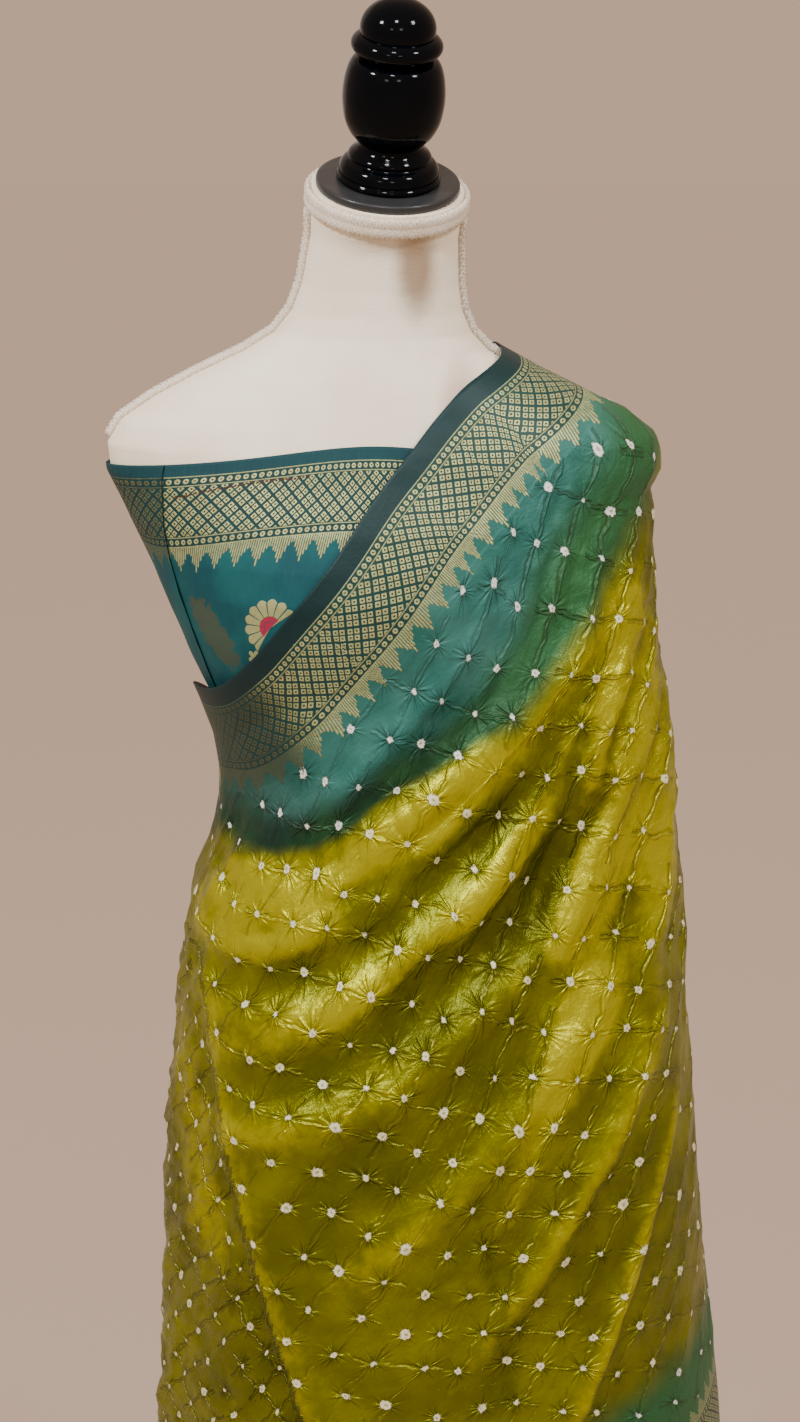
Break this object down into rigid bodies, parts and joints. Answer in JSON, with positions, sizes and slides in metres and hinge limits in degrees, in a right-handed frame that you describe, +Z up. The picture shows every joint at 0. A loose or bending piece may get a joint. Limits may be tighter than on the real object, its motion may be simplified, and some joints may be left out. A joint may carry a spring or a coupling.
{
  "type": "bandhani saree draped on a dress form",
  "caption": "Tie-dyed silk saree with woven borders, wrapped and draped over one shoulder of a padded dress form on a round foot, above a bust cloth.",
  "frame": {"origin": "middle of the round foot's underside", "axes": "+Z up along the stand, -Y out of the form's front, +X to the viewer's right, the side with the draped shoulder"},
  "size_m": [0.502, 0.3879, 1.5971],
  "materials": {
    "saree_silk": "lime satin with teal borders, woven gold and cream tied dots",
    "bust_silk": "teal silk with a woven gold border",
    "form_jersey": "matt cream jersey, lightly stained",
    "gimp_braid": "matt cream braid",
    "black_lacquer": "gloss black lacquer on turned wood",
    "black_metal": "satin black paint"
  },
  "bodies": {
    "root": {"saree": "saree_silk", "bust_cloth": "bust_silk", "dress_form": "form_jersey", "left_seam_braid": "gimp_braid", "right_seam_braid": "gimp_braid", "neck_braid": "gimp_braid", "neck_cap": "black_lacquer", "neck_knob": "black_lacquer", "stand_pole": "black_metal", "stand_foot": "black_metal"}
  },
  "joints": []
}
